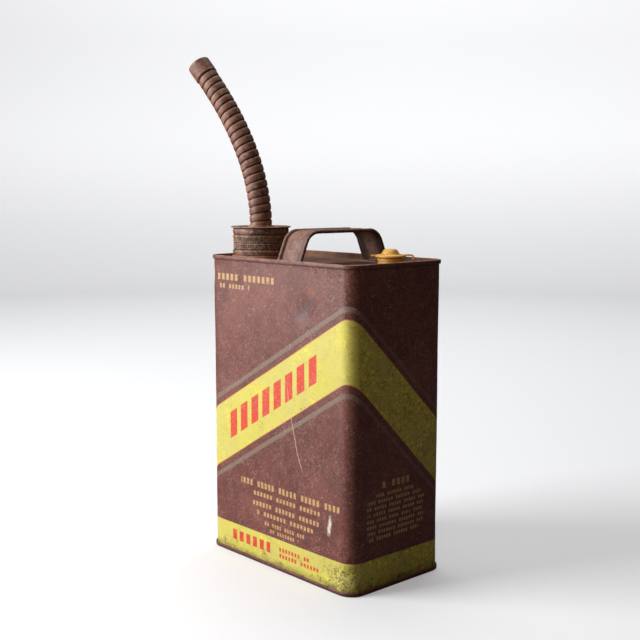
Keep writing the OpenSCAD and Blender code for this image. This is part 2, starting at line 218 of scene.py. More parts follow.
class Shader:
    """Builds one node material. Positions are in millimetres in the frame of the model.
    A colour is a socket or three display values from 0 to 255."""

    def __init__(self, name):
        self.material = bpy.data.materials.new(name)
        self.material.use_nodes = True
        self.tree = self.material.node_tree
        self.bsdf = self.tree.nodes["Principled BSDF"]
        scale = self.new("VectorMath")
        scale.operation = "SCALE"
        scale.inputs["Scale"].default_value = 1 / MM
        self.put(scale.inputs[0], self.new("TexCoord").outputs["Object"])
        self.place = scale.outputs[0]
        split = self.new("SeparateXYZ")
        self.put(split.inputs[0], self.place)
        self.x, self.y, self.z = split.outputs

    def new(self, kind):
        return self.tree.nodes.new("ShaderNode" + kind)

    def put(self, socket, value):
        if isinstance(value, bpy.types.NodeSocket):
            self.tree.links.new(value, socket)
        elif isinstance(value, tuple) and len(value) == 3:
            socket.default_value = [linear(part) for part in value] + [1]
        else:
            socket.default_value = value

    def math(self, operation, a, b=0.0, clamp=False):
        node = self.new("Math")
        node.operation = operation
        node.use_clamp = clamp
        self.put(node.inputs[0], a)
        self.put(node.inputs[1], b)
        return node.outputs[0]

    add = partialmethod(math, "ADD")
    sub = partialmethod(math, "SUBTRACT")
    mul = partialmethod(math, "MULTIPLY")
    div = partialmethod(math, "DIVIDE")
    most = partialmethod(math, "MAXIMUM")
    least = partialmethod(math, "MINIMUM")
    absolute = partialmethod(math, "ABSOLUTE")

    def step(self, value, low, high):
        """0 below low, 1 above high, smooth between. low above high turns it round."""
        node = self.new("MapRange")
        node.interpolation_type = "SMOOTHSTEP"
        limits = (low, high, 0.0, 1.0) if low <= high else (high, low, 1.0, 0.0)
        for socket, part in zip(node.inputs, (value, *limits)):
            self.put(socket, part)
        return node.outputs["Result"]

    def within(self, value, low, high, soft):
        """1 between low and high, either of which may be a socket."""
        above = self.div(self.sub(value, low), soft)
        below = self.div(self.sub(high, value), soft)
        return self.math("ADD", self.least(above, below), 0.5, clamp=True)

    def stretch(self, upright, turn=(0, 0, 0)):
        """Positions turned by `turn` degrees, then their Z scaled, for streaks."""
        node = self.new("Mapping")
        node.vector_type = "TEXTURE"     # this type turns first and divides by the scale
        self.put(node.inputs["Vector"], self.place)
        node.inputs["Scale"].default_value = (1, 1, 1 / upright)
        node.inputs["Rotation"].default_value = [math.radians(a) for a in turn]
        return node.outputs[0]

    def noise(self, size, detail, rough, vector=None, warp=0.0, seed=0):
        """Noise from 0 to 1 with features about `size` millimetres across."""
        node = self.new("TexNoise")
        node.noise_dimensions = "4D"
        values = {"Vector": vector or self.place, "W": seed, "Scale": 1 / size,
                  "Detail": detail, "Roughness": rough, "Distortion": warp}
        for name, value in values.items():
            self.put(node.inputs[name], value)
        return node.outputs["Fac"]

    def mix(self, factor, a, b, kind="RGBA", first=6, result=2):
        """Colour a where the factor is 0 and b where it is 1."""
        node = self.new("Mix")
        node.data_type = kind
        node.clamp_factor = True
        self.put(node.inputs[0], factor)
        self.put(node.inputs[first], a)
        self.put(node.inputs[first + 1], b)
        return node.outputs[result]

    def blend(self, factor, a, b):
        """Number a where the factor is 0 and b where it is 1."""
        return self.mix(factor, a, b, "FLOAT", 2, 0)

    def over(self, base, mask, amount, paint):
        """The base, with `amount` of a paint laid over it where the mask is 1."""
        return self.mix(self.mul(mask, amount), base, paint)

    def painted_shade(self):
        """The painted shade that mesh_of stores: 1 deep in a groove."""
        node = self.new("Attribute")
        node.attribute_name = "painted_shade"
        return node.outputs["Fac"]

    def camera_ray(self):
        return self.new("LightPath").outputs["Is Camera Ray"]

    def edges(self):
        """1 on raised edges, 0 in hollows, 0.5 on flats."""
        return self.new("NewGeometry").outputs["Pointiness"]

    def finish(self, base, rough, height=None, bump=0.2):
        """Fill the shader in. The bump is the depth in millimetres of a height of 1."""
        self.put(self.bsdf.inputs["Base Color"], base)
        self.put(self.bsdf.inputs["Roughness"], rough)
        if height is not None:
            node = self.new("Bump")
            node.inputs["Strength"].default_value = 1.0
            node.inputs["Distance"].default_value = bump * MM
            self.put(node.inputs["Height"], height)
            self.put(self.bsdf.inputs["Normal"], node.outputs[0])
        return self.material


# ---- materials ----

# edges of the chevron: height half way up its slope, and the rise from there to its peak
UPPER_MID, UPPER_RISE = 161.2, 47.7
LOWER_MID, LOWER_RISE = 113.4, 49.2
EDGE_SOFT = 0.35          # softness of printed edges
SMALL_PITCH = 8           # rows of closer dashes than this are broken into groups

# rows of short dashes: (low z, high z, start, end, dash pitch)
BROAD_ROWS = [
    (223.7, 228.7, -71.5, -1.5, 5.6), (217.1, 220.6, -70.5, -31.5, 4.0),
    (61.2, 66.0, -44.0, 72.0, 4.4), (54.2, 57.6, -31.5, 54.0, 4.0),
    (46.0, 49.6, -30.5, 53.0, 4.0), (39.2, 42.6, -24.0, 43.0, 4.0),
    (32.4, 35.4, -14.5, 32.5, 3.0), (27.4, 30.2, -9.0, 26.0, 3.0),
]
NARROW_ROWS = [(76.8, 81.8, -17.5, 13.0, 5.0)]
for k, row_ends in enumerate([(-24, 16), (-33, 24), (-34, 28), (-33, 27),
                              (-34, 28), (-34, 28), (-33, 28), (-31, 22)]):
    row_top = 73.5 - 4.6 * k
    NARROW_ROWS.append((row_top - 2.6, row_top, *row_ends, 2.6))
RED_ROWS = [(11.2, 19.6, -58.0, -7.5, 8.6), (15.4, 18.6, -1.5, 39.0, 3.6),
            (10.4, 13.6, -1.5, 51.0, 3.6)]


def paint_graphics(s, edge_noise, broad, narrow):
    """Masks of the printed design: yellow, its orange outline, grey stripes, red, cream.

    The same design goes round twice, so that each broad face and each narrow face matches
    the one opposite. The chevron is low at two corners and high at the other two.
    """
    slope = s.sub(s.absolute(s.sub(s.div(s.x, HALF_W), s.div(s.y, HALF_D))), 1.0)
    z = s.add(s.z, edge_noise)
    upper = s.add(s.mul(slope, UPPER_RISE), UPPER_MID)
    lower = s.add(s.mul(slope, LOWER_RISE), LOWER_MID)
    foot_band = s.step(z, 24.8, 24.4)
    yellow = s.most(s.within(z, lower, upper, EDGE_SOFT), foot_band)
    wider = s.within(z, s.sub(lower, 0.7), s.add(upper, 0.7), EDGE_SOFT)
    outline = s.sub(s.most(wider, foot_band), yellow)
    stripes = s.most(
        s.within(z, s.add(upper, 5.6), s.add(upper, 9.6), 0.5),
        s.within(z, s.sub(lower, 10.2), s.sub(lower, 6.2), 0.5))

    # position along a face, the same on opposite faces
    along_x = s.mul(s.x, s.mul(s.math("SIGN", s.y), -1.0))
    along_y = s.mul(s.y, s.math("SIGN", s.x))

    # eight plain slanted bars
    cell = s.math("FRACT", s.div(s.add(along_x, 57.8), 13.6))
    bars = s.mul(s.within(cell, 0.06, 0.7, 0.03), s.within(along_x, -58.0, 50.6, 0.3))
    height = s.div(s.sub(z, lower), s.sub(upper, lower))
    bars = s.mul(s.mul(bars, s.within(height, 0.3, 0.745, 0.012)), broad)

    def dashes(rows, along, face):
        masks = []
        for low, high, start, end, pitch in rows:
            run = s.add(along, start + 200.0)
            row = s.within(s.math("FRACT", s.div(run, pitch)), 0.1, 0.72, 0.14)
            if pitch < SMALL_PITCH:
                per_group = 5 + int(low) % 4
                group = s.math("FRACT", s.div(run, pitch * per_group))
                row = s.mul(row, s.step(group, 1.01 - 1 / per_group, 0.99 - 1 / per_group))
            row = s.mul(row, s.within(z, low, high, EDGE_SOFT))
            masks.append(s.mul(row, s.within(along, start, end, 0.4)))
        return s.mul(reduce(s.most, masks), face)

    cream = s.most(dashes(BROAD_ROWS, along_x, broad), dashes(NARROW_ROWS, along_y, narrow))
    red = s.most(bars, dashes(RED_ROWS, along_x, broad))
    return yellow, outline, stripes, red, cream


def enamel_noise(s):
    """Fine, mottled, cloudy and patchy noise, shared by all the enamel."""
    return (s.noise(1.1, 5, 0.65), s.noise(3.0, 6, 0.78, seed=3),
            s.noise(9, 5, 0.65, seed=2), s.noise(38, 5, 0.6, seed=1))


def maroon_paint(s, mottle, cloud, patch):
    """Enamel that has clouded: two tones in large patches, a pale haze in small ones."""
    base = s.mix(s.step(cloud, 0.36, 0.64), (92, 44, 36), (112, 56, 48))
    base = s.over(base, s.step(patch, 0.46, 0.68), 0.7, (128, 74, 62))
    base = s.over(base, s.step(mottle, 0.5, 0.68), 0.6, (152, 104, 92))
    grain = s.noise(1.5, 5, 0.8, seed=8)
    base = s.over(base, s.step(grain, 0.5, 0.38), 0.6, (72, 32, 26))
    return s.over(base, s.step(grain, 0.54, 0.66), 0.5, (164, 118, 104))


def golden_paint(s, mottle, patch, narrow, corner):
    """Yellow enamel, browned in patches, most on the narrow faces and round the corners."""
    base = s.mix(s.step(patch, 0.4, 0.62), (212, 200, 84), (206, 196, 100))
    base = s.over(base, s.step(mottle, 0.5, 0.72), 0.55, (178, 160, 70))
    bias = s.add(s.mul(narrow, 0.1), s.mul(corner, 0.09))
    tan = s.step(s.add(s.noise(11, 6, 0.72, seed=41), bias), 0.58, 0.7)
    base = s.over(base, tan, 0.5, (182, 144, 44))
    base = s.over(base, narrow, 0.4, (164, 146, 56))
    field = s.add(s.noise(15, 3, 0.6, seed=44), s.mul(narrow, 0.12))
    bright = s.mul(s.step(s.noise(3.0, 5, 0.8, seed=43), 0.52, 0.6), s.step(field, 0.56, 0.64))
    base = s.over(base, bright, 0.9, (250, 232, 44))
    streaks = s.noise(3.4, 6, 0.8, s.stretch(1.6, (20, 35, 0)), seed=42)
    return s.over(base, s.step(s.add(streaks, bias), 0.63, 0.7), 0.7, (112, 74, 40))


def painted_metal(name):
    """Old enamel on tinplate: haze, fine scratches, rubbed edges, specks and bloom of rust."""
    s = Shader(name)
    fine, mottle, cloud, patch = enamel_noise(s)

    # the faces without their rounded corners
    far_x, far_y = s.absolute(s.x), s.absolute(s.y)
    broad = s.step(far_y, HALF_D - 0.9, HALF_D - 0.6)
    narrow = s.step(far_x, HALF_W - 0.9, HALF_W - 0.6)
    # where the wear is heaviest: near both rims and on the upright corners
    ends = s.most(s.step(s.z, 26, 4), s.step(s.z, CAN_H - 16, CAN_H - 3))
    corner = s.mul(s.step(far_x, HALF_W - 10, HALF_W - 1), s.step(far_y, HALF_D - 10, HALF_D - 1))
    exposed = s.most(s.mul(ends, 0.8), corner)

    ragged = s.mul(s.sub(fine, 0.5), 0.6)
    yellow, outline, stripes, red, cream = paint_graphics(s, ragged, broad, narrow)
    worn = s.step(s.noise(1.6, 4, 0.75, seed=7), 0.36, 0.5)
    stripes = s.mul(stripes, s.blend(worn, 0.45, s.sub(0.85, s.mul(narrow, 0.45))))
    base = s.mix(stripes, maroon_paint(s, mottle, cloud, patch), (128, 110, 96))
    base = s.over(base, outline, 0.7, (196, 84, 48))
    base = s.mix(yellow, base, golden_paint(s, mottle, patch, narrow, corner))
    base = s.over(base, red, s.blend(worn, 0.7, 1.0), (212, 54, 40))
    base = s.over(base, cream, s.blend(worn, 0.3, 0.95), (200, 158, 104))

    # fine scratches, short and in many directions
    streaks = [s.step(s.noise(0.7, 2, 0.5, s.stretch(0.14, turn), seed=seed), 0.65, 0.7)
               for turn, seed in (((0, 62, 0), 11.0), ((0, -48, 10), 12.0), ((0, 28, 0), 13.0),
                                  ((58, 0, 0), 31.0), ((-46, 0, 0), 32.0), ((0, 96, 90), 33.0))]
    field = s.step(s.noise(14, 3, 0.65, seed=14), 0.38, 0.56)
    scratches = s.mul(reduce(s.most, streaks), field)
    base = s.over(base, scratches, 0.6, (184, 146, 132))

    # pale chips, brown rust pits, patches of rust
    chips = s.mul(s.step(s.noise(1.5, 2, 0.6, seed=34), 0.7, 0.74),
                  s.step(s.noise(21, 3, 0.6, seed=15), 0.44, 0.58))
    base = s.over(base, chips, 0.8, (204, 170, 154))
    field = s.step(s.add(s.noise(13, 4, 0.65, seed=16), s.mul(exposed, 0.16)), 0.5, 0.68)
    pits = s.mul(s.step(s.noise(1.7, 4, 0.7, seed=35), 0.54, 0.66), field)
    base = s.over(base, pits, 0.6, (66, 36, 20))
    bloom = s.step(s.add(s.noise(7.5, 6, 0.76, seed=18), s.mul(exposed, 0.15)), 0.63, 0.76)
    rust = s.mix(s.step(fine, 0.4, 0.6), (92, 50, 26), (146, 92, 54))
    base = s.over(base, bloom, 0.7, rust)

    # the upright corners are rubbed to a dull line
    rubbed = s.step(s.noise(4, 5, 0.75, s.stretch(0.5), seed=36), 0.5, 0.66)
    base = s.over(base, s.mul(s.step(corner, 0.55, 0.95), rubbed), 0.5, (120, 84, 60))

    # the paint is crazed at one lower corner, and grimy at the foot
    crazed = s.mul(s.step(s.x, HALF_W - 34, HALF_W - 16), s.step(s.y, -HALF_D + 16, -HALF_D + 4))
    crazed = s.mul(crazed, s.step(s.z, 25, 17))
    creases = s.absolute(s.sub(s.noise(7, 5, 0.7, warp=1.2, seed=38), 0.5))
    lines = s.mul(s.step(creases, 0.022, 0.006), crazed)
    flakes = s.mul(s.step(s.noise(3.6, 5, 0.75, seed=37), 0.52, 0.62), crazed)
    base = s.over(base, flakes, 0.7, (92, 58, 40))
    base = s.over(base, lines, 0.85, (52, 30, 22))
    grime = s.mul(s.step(s.z, 9, 3), s.step(cloud, 0.3, 0.6))
    base = s.over(base, grime, 0.6, (48, 30, 20))
    base = front_marks(s, base)

    rough = s.blend(s.most(bloom, pits), s.blend(mottle, 0.34, 0.58), 0.85)
    relief = s.add(s.mul(fine, 0.3), s.mul(mottle, 0.8))
    relief = s.sub(relief, s.mul(scratches, 0.35))
    relief = s.sub(relief, s.mul(s.most(chips, s.most(pits, lines)), 0.6))
    relief = s.add(relief, s.mul(s.mul(bloom, fine), 1.2))
    return s.finish(base, rough, relief)


def front_marks(s, base):
    """Marks with a place of their own on the front: one long scratch, a pale scuff, a dark
    rub beside the dent, and an orange stain above the rub."""
    front = s.step(s.y, -HALF_D + 2.0, -HALF_D + 1.5)
    wander = s.mul(s.sub(s.noise(7, 2, 0.5, seed=21), 0.5), 2.4)

    # the scratch runs down and to the right
    drop = s.sub(146.0, s.z)
    path = s.add(s.add(13.6, s.mul(drop, 0.16)), s.mul(s.mul(drop, drop), 0.0018))
    scratch = s.within(s.sub(s.add(s.x, wander), path), -0.32, 0.32, 0.3)
    scratch = s.mul(scratch, s.within(s.z, 86.0, 146.0, 3.0))
    base = s.over(base, s.mul(scratch, front), 0.85, (214, 176, 160))

    def leaning(x, z, lean, half, soft):
        off = s.sub(s.x, s.add(x, s.mul(s.sub(s.z, z), lean)))
        return s.within(s.add(off, wander), -half, half, soft)

    scuff = s.mul(leaning(61.0, 50.0, 0.18, 1.6, 1.6), s.within(s.z, 43.0, 57.0, 4.0))
    scuff = s.mul(scuff, s.step(s.noise(2.4, 4, 0.7, seed=22), 0.36, 0.52))
    base = s.over(base, scuff, front, (222, 208, 198))
    rub = s.mul(leaning(34.0, 207.0, 0.75, 3.2, 3.4), s.within(s.z, 196.0, 219.0, 6.0))
    rub = s.mul(rub, s.step(s.noise(3.6, 4, 0.7, seed=23), 0.38, 0.56))
    base = s.over(base, s.mul(rub, front), 0.55, (84, 84, 92))

    stain = s.sub(s.absolute(s.sub(s.x, 41.5)), s.mul(wander, 1.5))
    stain = s.mul(s.within(stain, -4.0, 4.0, 2.5), s.within(s.z, 218.0, 224.0, 5.0))
    return s.over(base, s.mul(stain, front), 0.5, (150, 92, 54))


def rust_metal(name, shades, rusty, worn=0.5, rough=(0.45, 0.8), size=1.0):
    """Rusted plate: dark and light scale, orange bloom, edges rubbed bright, painted shade in the grooves."""
    dark, mid, light, orange = shades
    s = Shader(name)
    broad = s.noise(7 * size, 5, 0.6)
    scale = s.noise(2.1 * size, 6, 0.68, seed=2)
    fine = s.noise(0.55, 4, 0.7, seed=4)
    base = s.mix(s.step(broad, 0.36, 0.64), dark, mid)
    base = s.over(base, s.step(scale, 0.48, 0.7), 0.75, light)
    bloom = s.step(s.noise(4.2 * size, 6, 0.75, seed=5), 0.66 - 0.2 * rusty, 0.8 - 0.2 * rusty)
    base = s.over(base, bloom, 0.8, orange)
    rubbed = s.mul(s.step(s.edges(), 0.5, 0.6), s.step(scale, 0.34, 0.6))
    base = s.over(base, rubbed, worn, light)
    specks = s.mul(s.step(s.noise(1.1, 3, 0.7, seed=6), 0.62, 0.7), s.step(broad, 0.45, 0.6))
    base = s.over(base, specks, 0.55, (38, 22, 16))
    # painted shade: near black in the grooves and under the collar's brim, as mesh_of stored it
    base = s.over(base, s.painted_shade(), 0.85, (34, 17, 11))
    roughness = s.blend(s.most(bloom, specks), s.blend(scale, *rough), 0.9)
    relief = s.add(s.mul(scale, 0.7), s.mul(fine, 0.35))
    return s.finish(base, roughness, s.sub(relief, s.mul(specks, 0.4)), 0.16)


def end_metal(name):
    """The ends: painted like the wall outside, bare rusted tinplate inside the rim."""
    s = Shader(name)
    fine, mottle, cloud, patch = enamel_noise(s)
    bloom = s.step(s.noise(8, 6, 0.76, seed=19), 0.5, 0.64)
    rust = s.mix(s.step(s.noise(5, 6, 0.75, seed=18), 0.5, 0.68), (84, 52, 36), (134, 82, 48))
    outside = s.over(maroon_paint(s, mottle, cloud, patch), bloom, 0.8, rust)
    inside = s.mix(s.step(cloud, 0.38, 0.62), (84, 50, 32), (112, 72, 46))
    inside = s.over(inside, s.step(mottle, 0.48, 0.68), 0.6, (130, 90, 62))
    inside = s.over(inside, bloom, 0.5, (104, 60, 32))

    # distance from the line that the rounded corners turn about
    far_x = s.most(s.sub(s.absolute(s.x), HALF_W - CORNER_R), 0.0)
    far_y = s.most(s.sub(s.absolute(s.y), HALF_D - CORNER_R), 0.0)
    reach = s.math("SQRT", s.add(s.mul(far_x, far_x), s.mul(far_y, far_y)))
    in_rim = s.step(reach, CORNER_R + 0.2, CORNER_R - 0.5)
    base = s.mix(in_rim, outside, inside)
    # the crest of the rim is lighter: a painted highlight, in part also wear rubbed bright; the lower rim is
    # darker
    crest = s.within(s.z, CAN_H - 0.2, CAN_H + 1.0, 0.3)
    rubbed = s.step(s.noise(6, 5, 0.7, seed=20), 0.42, 0.62)
    base = s.over(base, crest, s.blend(rubbed, 0.25, 0.9), (186, 158, 140))
    base = s.over(base, s.step(s.z, 3.0, 0.5), 0.5, (50, 32, 24))
    rough = s.blend(s.most(bloom, s.mul(in_rim, 0.7)), s.blend(mottle, 0.32, 0.55), 0.85)
    return s.finish(base, rough, s.add(s.mul(fine, 0.3), s.mul(mottle, 0.8)))


def aged_plastic(name):
    """Soft yellow plastic, browned in patches, with painted shade in its hollows."""
    s = Shader(name)
    cloud = s.noise(5, 4, 0.6)
    fine = s.noise(0.8, 4, 0.65, seed=2)
    base = s.mix(s.step(cloud, 0.35, 0.65), (216, 158, 62), (232, 180, 86))
    # painted shade: darker brown in the hollows, where pointiness is low
    base = s.over(base, s.step(s.edges(), 0.5, 0.44), 0.6, (120, 72, 24))
    stain = s.step(s.noise(3.2, 5, 0.7, seed=3), 0.58, 0.74)
    base = s.over(base, stain, 0.45, (150, 96, 36))
    s.bsdf.inputs["Subsurface Weight"].default_value = 0.12
    s.bsdf.inputs["Subsurface Radius"].default_value = (0.002, 0.001, 0.0004)
    return s.finish(base, s.blend(fine, 0.3, 0.5), s.add(s.mul(fine, 0.3), cloud), 0.08)


def rubber(name, dark):
    s = Shader(name)
    fine = s.noise(0.6, 4, 0.6)
    return s.finish(s.mix(fine, dark, (74, 64, 56)), s.blend(fine, 0.7, 0.9), fine, 0.08)


PAINT = painted_metal("worn_paint")
TIN = end_metal("rusted_tin")
# dark, mid and light scale, the colour of the bloom, and how much of it there is
NECK_RUST = rust_metal(
    "neck_rust", ((112, 66, 42), (160, 102, 66), (190, 138, 100), (172, 100, 56)), 0.7)
HANDLE_RUST = rust_metal(
    "handle_rust", ((86, 54, 42), (122, 84, 68), (166, 130, 112), (122, 76, 48)), 0.3, worn=0.7)
COLLAR_RUST = rust_metal(
    "collar_rust", ((78, 46, 36), (138, 96, 76), (206, 170, 144), (134, 82, 50)), 0.4, worn=0.8)
HOSE_RUST = rust_metal(
    "hose_rust", ((100, 60, 44), (138, 90, 68), (178, 134, 110), (132, 82, 54)), 0.25,
    worn=0.6, rough=(0.4, 0.66), size=1.6)
PLASTIC = aged_plastic("aged_plastic")
RUBBER = rubber("gasket_rubber", (40, 34, 30))
COMPOUND = rubber("seam_compound", (50, 46, 44))


# ---- can body ----

def outline(spacing, corner_steps=12):
    """Points round the wall: the centre that each one turns about, and its direction out."""
    reach = np.array([HALF_W - CORNER_R, HALF_D - CORNER_R])
    corners = [np.array(sign) * reach for sign in ((1, 1), (-1, 1), (-1, -1), (1, -1))]
    centres, outward = [], []
    for k, corner in enumerate(corners):
        for i in range(corner_steps + 1):
            angle = math.pi / 2 * (k + i / corner_steps)
            centres.append(corner)
            outward.append((math.cos(angle), math.sin(angle)))
        following = corners[(k + 1) % 4]
        steps = round(np.linalg.norm(following - corner) / spacing)
        for i in range(1, steps):
            centres.append(corner + (following - corner) * i / steps)
            outward.append(outward[-1])
    return np.array(centres), np.array(outward)


# (x, y, z, radius, depth) of each dent; a negative depth stands proud
DENTS = [
    (35, -HALF_D, 206, 9, 1.1), (-48, -HALF_D, 156, 16, 0.7), (60, -HALF_D, 96, 20, 0.6),
    (-20, -HALF_D, 60, 22, 0.6), (HALF_W, 10, 190, 18, 0.8), (HALF_W, -20, 88, 15, 0.6),
    (HALF_W, 28, 40, 12, 0.7), (-HALF_W, 5, 150, 24, 1.3), (-HALF_W, -25, 60, 12, 0.8),
    (20, HALF_D, 170, 20, 1.2), (-55, HALF_D, 90, 17, 0.9), (50, HALF_D, 45, 12, 0.8),
    (HALF_W - 3, -HALF_D + 3, 14, 9, 1.3), (HALF_W - 1, -HALF_D + 6, 152, 7, 0.5),
    (-HALF_W + 3, HALF_D - 3, 20, 8, 1.1), (-HALF_W + 2, -HALF_D + 2, 228, 6, 0.8),
]


def wall_offset(x, y, z):
    """How far the wall stands out of its true outline here, in millimetres."""
    out = 0.28 * noise_at((x, y, z), 55, 3) + 0.07 * noise_at((x, y, z), 14, 5)
    for dx, dy, dz, radius, depth in DENTS:
        near = ((x - dx) ** 2 + (y - dy) ** 2 + (z - dz) ** 2) / radius ** 2
        if near < 6:
            out -= depth * math.exp(-near)
    # crumpled lower corner
    near = ((x - HALF_W + 6) ** 2 + (y + HALF_D - 4) ** 2 + (z - 12) ** 2) / 17 ** 2
    if near < 4:
        out += 1.0 * math.exp(-near) * noise_at((x, y, z), 5, 9)
    # the seams hold the wall to its outline at both ends
    hold = min(1, max(0, (z - 4) / 14), max(0, (CAN_H - 4 - z) / 14))
    return max(-2.5, min(1.1, out)) * hold


def make_body():
    centres, outward = outline(1.7)
    true = centres + outward * CORNER_R
    rows = []
    for z in np.linspace(0.9, CAN_H - 0.9, 138):
        offsets = np.array([wall_offset(x, y, z) for x, y in true])
        ring = centres + outward * (CORNER_R + offsets)[:, None]
        rows.append(np.column_stack([ring, np.full(len(ring), z)]))
    outer = np.array(rows)
    inner = outer.copy()
    inner[..., :2] -= outward[None] * SHEET
    points = np.concatenate([outer, inner[::-1]])
    parts = [(points, grid_faces(len(points), len(centres), True))]
    add_object("can_body", parts, PAINT, "can", ["body_shell"], sharp=60)


def make_lock_seam():
    """Folded upright joint of the wall, up the middle of the back."""
    half, proud = 3.1, 0.72
    sections = []
    for z in np.linspace(SEAM_H + 0.2, CAN_H - SEAM_H - 0.2, 90):
        fade = min(1, (z - SEAM_H) / 5, (CAN_H - SEAM_H - z) / 5)
        rise = 0.25 + (proud - 0.25) * fade
        wall = HALF_D + wall_offset(0, HALF_D, z)
        shape = [(-half - 0.4, -0.3), (-half, rise * 0.55), (-half + 0.5, rise),
                 (0, rise * 1.02), (half - 0.9, rise * 0.96), (half - 0.3, rise * 0.72),
                 (half + 0.2, -0.3)]
        wobble = 0.12 * noise_at((0, 40, z), 20, 2)
        sections.append([(x + wobble, wall + y, z) for x, y in shape])
    add_object("lock_seam", [sweep(sections)], PAINT, "can", sharp=25)


def end_surface():
    """Sheet of an end, from the hem of its skirt over the rim and down to the panel."""
    centres, outward = outline(2.2)
    # (distance out from the wall, drop below the rim's crest)
    rim = [(0.3, 3.1), (0.85, SEAM_H), (1.2, 3.05), (1.31, 2.7), (1.32, 1.9), (1.32, 1.1),
           (1.22, 0.5), (0.95, 0.16), (0.5, 0.02), (0.0, 0.0), (-0.4, 0.08), (-0.7, 0.34),
           (-0.84, 0.8), (-0.84, 1.6), (-0.84, 2.6), (-0.86, 3.6), (-1.0, 4.4),
           (-1.4, 4.86), (-2.2, 5.0)]
    rows = []
    for offset, drop in rim:
        row = []
        for x, y in centres + outward * (CORNER_R + offset):
            nick = (0.16 * max(0, noise_at((x, y, 0), 11, 4))
                    + 0.3 * max(0, noise_at((x, y, 0), 31, 7) - 0.35))
            row.append((x - math.copysign(nick * 0.5, x), y - math.copysign(nick * 0.5, y),
                        CAN_H - drop - nick * (1 - drop / 5)))
        rows.append(row)
    # the panel closes on a line along its middle
    edge = centres + outward * (CORNER_R + rim[-1][0])
    half_line = HALF_W - HALF_D
    middle = np.column_stack([np.clip(edge[:, 0], -half_line, half_line), np.zeros(len(edge))])
    for t in np.linspace(0, 1, 30)[1:]:
        rise = 0.45 * (1 - (1 - t) ** 2)
        rows.append([(x, y, CAN_H - 5 + rise + 0.22 * noise_at((x, y, 0), 26, 6) * min(1, 4 * t))
                     for x, y in edge + (middle - edge) * t])
    return np.array(rows)


def make_end(name, node, holes, at_top):
    """An end of the can with round holes, each (x, y, radius)."""
    points = end_surface()
    if not at_top:
        points[..., 2] = CAN_H - points[..., 2]
    rows, cols = points.shape[:2]
    mesh = mesh_of(name, [(points, grid_faces(rows, cols, False))], closed=False)
    work = bmesh.new()
    work.from_mesh(mesh)

    def in_hole(face):
        centre = face.calc_center_median()
        return any(math.hypot(centre.x / MM - x, centre.y / MM - y) < r for x, y, r in holes)

    unwanted = [face for face in work.faces if in_hole(face) or face.calc_area() < 1e-12]
    bmesh.ops.delete(work, geom=unwanted, context="FACES")
    panel = max(work.faces, key=lambda face: abs(face.normal.z) * face.calc_area())
    if (panel.normal.z > 0) != at_top:
        bmesh.ops.reverse_faces(work, faces=work.faces)
    work.to_mesh(mesh)
    work.free()
    obj = add_object(name, mesh, TIN, "can", [node], sharp=50)
    sheet = obj.modifiers.new("sheet", "SOLIDIFY")
    sheet.thickness = SHEET * MM
    sheet.offset = -1


make_body()
make_lock_seam()
make_end("can_top", "top_end", [(NECK.x, NECK.y, 20.5), (VENT.x, VENT.y, 8.2)], True)
make_end("can_bottom", "bottom_end", [], False)

for node in ("top_seam_compound", "bottom_seam_compound"):
    dress(node, COMPOUND)


# ---- filler neck, collar, flange, gasket ----

PITCH = 4.0               # of the thread


def ridge(z, angle, start, low, high):
    """Height from 0 to 1 of a right-hand rolled thread that fades out at both ends."""
    phase = ((z - start) / PITCH - angle / TURN + 0.5) % 1.0 - 0.5
    bump = np.clip(1 - (np.abs(phase) * PITCH / 1.15) ** 2, 0, 1)
    fade = np.clip((z - low) / 1.2, 0, 1) * np.clip((high - z) / 1.2, 0, 1)
    return bump * fade


def make_neck():
    lip, bore = 19.2, 17.9
    skirt = [(bore, -5.0), (24.4, -5.0), (24.95, -4.75), (24.9, -4.3), (24.2, -3.5),
             (23.6, -2.0), (23.25, -0.9), (22.9, -0.2), (22.2, 0.18), (20.4, 0.2), (19.8, 0.5)]
    mouth = [(19.8, -0.7), (19.6, -0.2), (19.1, 0), (18.5, -0.1), (18.1, -0.5), (bore, -1.2)]

    def shape(r, z, angle):
        return r + np.where(r > 19.5, 1.1 * ridge(z, angle, 5.0, 3.6, 16.4), 0)

    parts = [lathe(refine(skirt + lifted(mouth, lip), 0.4), NECK, 160, shape)]
    add_object("neck", parts, NECK_RUST, "can", ["filler_neck"], sharp=45)


